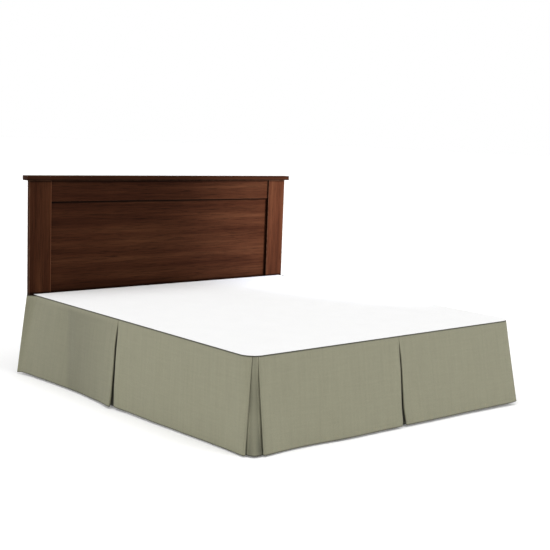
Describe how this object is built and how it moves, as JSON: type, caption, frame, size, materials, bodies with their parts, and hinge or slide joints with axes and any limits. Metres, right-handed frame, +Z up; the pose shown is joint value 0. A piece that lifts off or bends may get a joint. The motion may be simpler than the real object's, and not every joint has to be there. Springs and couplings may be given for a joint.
{
  "type": "bed skirt on a bed with headboard",
  "caption": "Tailored cloth drops with inverted pleats hang from a flat deck sheet on a box spring, down to the floor on the sides and foot, before a panelled wooden headboard.",
  "frame": {"origin": "on the floor, under the middle of everything that is built", "axes": "+Z up, +Y towards the headboard, +X to the right as seen from the foot of the bed"},
  "size_m": [2.1458, 2.1782, 1.174],
  "materials": {
    "face_cloth": "matte plain weave, grey-green",
    "deck_cloth": "matte plain weave, white",
    "ticking": "matte woven cover, off-white",
    "walnut": "satin, dark brown grain",
    "frame_paint": "satin, near-black"
  },
  "bodies": {
    "root": {"deck_sheet": "deck_cloth", "drop_left_head": "face_cloth", "drop_left_foot": "face_cloth", "drop_foot_left": "face_cloth", "drop_foot_right": "face_cloth", "drop_right_foot": "face_cloth", "drop_right_head": "face_cloth", "underlay_left": "face_cloth", "underlay_foot": "face_cloth", "underlay_right": "face_cloth", "underlay_corner_left": "face_cloth", "underlay_corner_right": "face_cloth", "box_spring": "ticking", "frame_rail_left": "frame_paint", "frame_rail_right": "frame_paint", "frame_cross_head": "frame_paint", "frame_cross_middle": "frame_paint", "frame_cross_foot": "frame_paint", "leg_head_left": "frame_paint", "leg_head_right": "frame_paint", "leg_middle": "frame_paint", "leg_foot_left": "frame_paint", "leg_foot_right": "frame_paint", "headboard_stile_left": "walnut", "headboard_stile_right": "walnut", "headboard_top_rail": "walnut", "headboard_bottom_rail": "walnut", "headboard_panel": "walnut", "headboard_cap": "walnut"}
  },
  "joints": []
}
